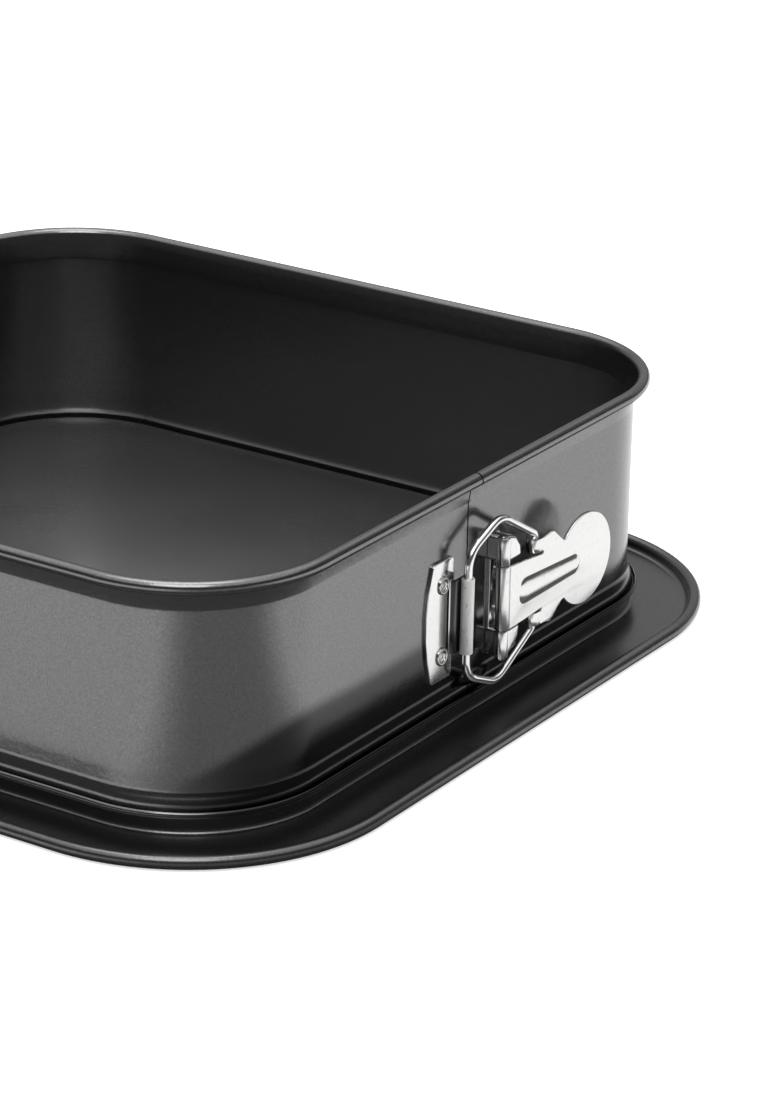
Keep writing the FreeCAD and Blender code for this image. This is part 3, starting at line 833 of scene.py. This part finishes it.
def make_hinge_pin():
    """A pin with a low button head at both ends."""
    # (beyond the bracket's end, radius)
    head = [(0.7, 0.0), (0.7, 0.9), (0.6, 1.25), (0.35, 1.43), (0.05, 1.45), (0.0, 1.4),
            (0.0, PIN_R)]
    profile = [(-BRACKET_H - out, radius) for out, radius in head]
    profile += [(-axial, radius) for axial, radius in reversed(profile)]
    part("hinge_pin_turned", lathe(profile, about_pin, 36), RIVET_STEEL, "ring",
         "hinge_pin")


# ------------------------------------------------------------------ thumb lever
LEVER_T = 1.0
LEVER_H = 9.8  # half its height at the pin
LEVER_IN = PIN_R + CLEARANCE  # inner face, out from the pin's axis
LEVER_TILT = radians(2.2)
LEVER_FRAME = (
    Matrix.Translation((PIN_X, PIN_Y, BUCKLE_Z)) @ Matrix.Rotation(-LEVER_TILT, 4, "Z")
)
# the stub's place in the lever's frame
LEVER_STUB_X = (STUB_X - PIN_X) * cos(LEVER_TILT) - (STUB_Y - PIN_Y) * sin(LEVER_TILT)
LEVER_STUB_Y = (STUB_X - PIN_X) * sin(LEVER_TILT) + (STUB_Y - PIN_Y) * cos(LEVER_TILT)
TAB_LOW, TAB_HIGH = 9.3, 13.5  # the tabs rolled around the wire's ends, in z


def on_lever(x, y, z):
    """x out from the pin's axis, y along the lever, z above its middle."""
    return tuple(LEVER_FRAME @ Vector((x, y, z)))


def lever_outline():
    """The lever's face in (y, z): a plate with two tabs, necked before a round thumb disc."""
    disc_r, disc_y = 14.1, 40.4
    neck = 10.6  # from the disc's centre back to where the disc begins
    join_y, join_z = disc_y - neck, sqrt(disc_r**2 - neck**2)
    # (y, z, bulge of the arc to the next point)
    edge = [
        (0.0, LEVER_H),
        (9.0, LEVER_H - 0.5),
        (17.6, 8.5, 0.9),
        (17.6, TAB_LOW),
        (LEVER_STUB_Y, TAB_LOW),
        (LEVER_STUB_Y, TAB_HIGH),
        (18.2, TAB_HIGH, 0.05),
        (21.6, 14.0, -0.28),
        (24.4, 12.9),
        (27.6, 10.2, 0.22),
        (join_y, join_z),
    ]
    upper = sample_outline(edge, 0.6, closed=False) + [(join_y, join_z)]
    start = atan2(join_z, -neck)
    angles = [start - 2 * start * i / 60 for i in range(1, 60)]
    disc = [(disc_y + disc_r * cos(a), disc_r * sin(a)) for a in angles]
    return upper + disc + [(y, -z) for y, z in reversed(upper)]


def capsule(pin_r, thumb_r, pin_y=9.6, thumb_y=34.4, count=20):
    """A long loop with a blunter end towards the pin and a round end towards the thumb disc."""
    points = []
    for i in range(count + 1):
        angle = -pi / 2 + pi * i / count
        points.append((thumb_y + thumb_r * cos(angle), thumb_r * sin(angle)))
    for i in range(count + 1):
        angle = pi / 2 + pi * i / count
        sign = -1 if cos(angle) < 0 else 1
        points.append((pin_y + pin_r * sign * abs(cos(angle)) ** 0.7, pin_r * sin(angle)))
    return points


def raise_rib(lever, previous, face, pin_r, thumb_r, height):
    """Close a capsule hole with a rib pressed outwards."""
    steps = 12
    for i in range(1, steps + 1):
        share = i / steps
        scale = 1.0 - 0.97 * share
        out = height * (1 - scale * scale) * (1.0 if share > 0.1 else 0.6)
        loop = capsule(pin_r * scale, thumb_r * scale, 9.6 - 0.6 * share, 34.4 + 0.2 * share)
        ids = lever.add([on_lever(face + out, y, z) for y, z in loop])
        lever.strip(previous, ids, closed=True)
        previous = ids
    lever.cap([loop], [previous])


def lever_eye(x, y, radius, low, high, bevel):
    """Sheet rolled around an axis at (x, y) of the lever's frame."""
    lead = 1.2
    track = Track(x + radius, y + lead, -90.0)
    track.line(lead)
    track.arc(radius, -285.0)
    return bent_sheet(track, LEVER_T, low, high, bevel, on_lever, step=0.4, arc_step=8.0)


def make_thumb_lever():
    outer, inner = (4.2, 3.2), (3.4, 2.4)  # rib radii towards the pin and the thumb disc
    lever_out = LEVER_IN + LEVER_T
    lever = prism(
        lever_outline(), LEVER_IN, lever_out, 0.26, lambda y, z, x: on_lever(x, y, z),
        low_hole=capsule(*inner), high_hole=capsule(*outer),
    )
    inner_ids, outer_ids = lever.holes
    raise_rib(lever, outer_ids, lever_out, *outer, height=1.0)
    raise_rib(lever, inner_ids, LEVER_IN, *inner, height=0.85)
    lever.merge(lever_eye(0.0, 0.0, LEVER_IN + LEVER_T / 2, -LEVER_H, LEVER_H, 0.22))
    tab_r = WIRE_R + CLEARANCE + LEVER_T / 2
    for side in (1, -1):
        low, high = sorted((side * TAB_LOW, side * TAB_HIGH))
        lever.merge(lever_eye(LEVER_STUB_X, LEVER_STUB_Y, tab_r, low, high, 0.18))
    part("thumb_lever_pressed", lever, PLATED, "lever", "thumb_lever", weld=False)


# ------------------------------------------------------------------ bail wire and sleeve
def make_bail_wire():
    """A wire loop from the lever's two tabs to the straight bar at the catch."""
    reach = hypot(STUB_X - BAR_X, STUB_Y - BAR_Y)
    tilt = atan2(STUB_X - BAR_X, STUB_Y - BAR_Y)
    frame = Matrix.Translation((STUB_X, STUB_Y, BUCKLE_Z)) @ Matrix.Rotation(-tilt, 4, "Z")
    # (y from the stubs, z) of the upper half, and the bend radius at all but its first point
    upper = [(0.0, 9.4), (0.0, 14.6), (-18.2, 25.6), (-reach, 18.7)]
    bends = [1.7, 8.0, 7.6]
    loop = upper + [(y, -z) for y, z in reversed(upper)]
    path = bent_path(loop, bends + bends[::-1], step=0.8)
    shell = wire(path, WIRE_R, lambda y, z, x: tuple(frame @ Vector((x, y, z))))
    part("bail_wire_bent", shell, WIRE_STEEL, "bail", "bail_wire", sharp=50.0)


def make_bail_sleeve():
    """A sleeve rolled from sheet around the bar, its joint turned towards the wall."""
    half_height = 11.4
    joint = 6.0  # half the open angle, degrees
    thickness = SLEEVE_R - WIRE_R - CLEARANCE
    middle = WIRE_R + CLEARANCE + thickness / 2
    track = Track(
        -middle * cos(radians(joint)), middle * sin(radians(joint)), 90.0 - joint
    )
    track.arc(middle, -(360.0 - 2 * joint))
    shell = bent_sheet(
        track, thickness, -half_height, half_height, 0.12,
        lambda x, y, z: (BAR_X + x, BAR_Y + y, BUCKLE_Z + z), step=0.4, arc_step=8.0,
    )
    part("bail_sleeve_rolled", shell, SATIN, "sleeve", "bail_sleeve")


# ------------------------------------------------------------------ floor, light, camera
def floor_material():
    """Pale floor with a glow of its own, darkened only as the pan's sheen reflects it."""
    mat, graph, surface, output, position = new_material("pale_floor")
    mottle = graph.noise(position, scale=3.0, detail=3.0)
    graph.feed(surface.inputs["Base Color"], graph.mix(mottle, grey(0.86), grey(0.90)))
    graph.feed(surface.inputs["Roughness"], 0.7)

    near_corner = 0.64  # the +x -y corner's bearing below the x axis, radians
    near_dark, steep_dark, least_dark = 0.78, 0.95, 0.33
    x, y, _ = graph.axes(position)
    bearing = graph.math("ARCTAN2", y, x)
    off = graph.math("ABSOLUTE", graph.math("ADD", bearing, near_corner))
    spot = graph.math("MULTIPLY", graph.fade(off, zero_at=0.74, one_at=0.16), near_dark)
    incoming = graph.axes(graph.node("ShaderNodeNewGeometry").outputs["Incoming"])["Z"]
    steep = graph.math("MULTIPLY", graph.fade(incoming, zero_at=0.45, one_at=0.56), steep_dark)
    glossy = graph.node("ShaderNodeLightPath").outputs["Is Glossy Ray"]
    shade = graph.math("MAXIMUM", spot, steep)
    shade = graph.math("MAXIMUM", shade, least_dark)
    shade = graph.math("MULTIPLY", shade, glossy)

    glow = 0.66
    lit = graph.math("SUBTRACT", 1.0, shade)
    emission = graph.node("ShaderNodeEmission")
    graph.feed(emission.inputs["Color"], grey(1))
    graph.feed(emission.inputs["Strength"], graph.math("MULTIPLY", lit, glow))
    dark = graph.node("ShaderNodeBsdfDiffuse")
    graph.feed(dark.inputs["Color"], grey(0.03))
    mixed = graph.node("ShaderNodeMixShader")
    graph.feed(mixed.inputs[0], shade)
    graph.feed(mixed.inputs[1], surface.outputs[0])
    graph.feed(mixed.inputs[2], dark.outputs[0])
    total = graph.node("ShaderNodeAddShader")
    graph.feed(total.inputs[0], mixed.outputs[0])
    graph.feed(total.inputs[1], emission.outputs[0])
    graph.feed(output.inputs[0], total.outputs[0])
    return mat


def make_floor():
    mat = floor_material()
    count, half = 12, 6.0  # cells per side, half the side in metres
    row = count + 1
    marks = [-half + 2 * half * i / count for i in range(row)]
    corners = [j * row + i for j in range(count) for i in range(count)]
    mesh = bpy.data.meshes.new("floor")
    mesh.from_pydata(
        [(x, y, 0.0) for y in marks for x in marks], [],
        [(k, k + 1, k + row + 1, k + row) for k in corners],
    )
    mesh.materials.append(mat)
    floor = bpy.data.objects.new("floor", mesh)
    bpy.context.scene.collection.objects.link(floor)


def make_world():
    """A dark room with a grey card behind the pan and a soft box overhead."""
    room, box, card_level = 0.09, 1.15, 0.34
    camera_white = 1.5
    back_x, back_y = -0.54, 0.84  # direction of the card, away from the camera
    world = bpy.data.worlds.new("studio")
    bpy.context.scene.world = world
    world.use_nodes = True
    graph = Graph(world.node_tree)
    output = graph.node("ShaderNodeOutputWorld")
    background = graph.node("ShaderNodeBackground")
    graph.feed(output.inputs[0], background.outputs[0])
    x, y, z = graph.axes(graph.node("ShaderNodeTexCoord").outputs["Generated"])
    along_x = graph.math("MULTIPLY", x, back_x)
    back = graph.math("ADD", along_x, graph.math("MULTIPLY", y, back_y))
    behind = graph.fade(back, zero_at=0.25, one_at=0.70)
    card = graph.math("MULTIPLY", behind, graph.fade(z, zero_at=0.02, one_at=0.30))
    overhead = graph.fade(z, zero_at=0.42, one_at=0.85)
    level = graph.math("ADD", graph.math("MULTIPLY", overhead, box), room)
    level = graph.math("ADD", level, graph.math("MULTIPLY", card, card_level))
    # past the floor's edge the camera sees plain white, as it does on the floor
    camera_ray = graph.node("ShaderNodeLightPath").outputs["Is Camera Ray"]
    white = graph.math("MULTIPLY", camera_ray, camera_white)
    level = graph.math("MAXIMUM", level, white)
    graph.feed(background.inputs["Color"], grey(1))
    graph.feed(background.inputs["Strength"], level)


def area_light(name, place, size, power):
    """A square light aimed at the pan."""
    aim = Vector((0, 0, 0.03))
    light = bpy.data.lights.new(name, "AREA")
    light.shape = "SQUARE"
    light.size = size
    light.energy = power
    ob = bpy.data.objects.new(name, light)
    ob.location = place
    ob.rotation_euler = (aim - Vector(place)).to_track_quat("-Z", "Y").to_euler()
    bpy.context.scene.collection.objects.link(ob)


def make_camera():
    place = (0.69988713, -0.94984805, 0.49023108)
    right = Vector((0.8372015795, 0.5465357208, 0.0198045752))
    up = Vector((-0.2167460684, 0.2983360403, 0.9295250125))
    forward = Vector((-0.5021102042, 0.7824923725, -0.3682268729))
    camera = bpy.data.cameras.new("camera")
    camera.sensor_fit = "HORIZONTAL"
    camera.sensor_width = 36.0
    camera.lens = 199.386614
    camera.clip_end = 50.0
    ob = bpy.data.objects.new("camera", camera)
    turn = Matrix((right, up, -forward)).transposed()
    ob.matrix_world = Matrix.Translation(place) @ turn.to_4x4()
    scene = bpy.context.scene
    scene.collection.objects.link(ob)
    scene.camera = ob
    scene.view_settings.view_transform = "Standard"
    scene.view_settings.look = "None"


# ------------------------------------------------------------------ build
make_ring_band()
make_inner_flap()
make_base_plate()
make_catch_plate()
make_rivets()
make_hinge_bracket()
make_hinge_pin()
make_thumb_lever()
make_bail_wire()
make_bail_sleeve()

make_floor()
make_world()
area_light("key", place=(0.5, -0.9, 1.5), size=0.9, power=9.0)
area_light("top", place=(-0.2, 0.1, 2.0), size=1.2, power=12.0)
make_camera()
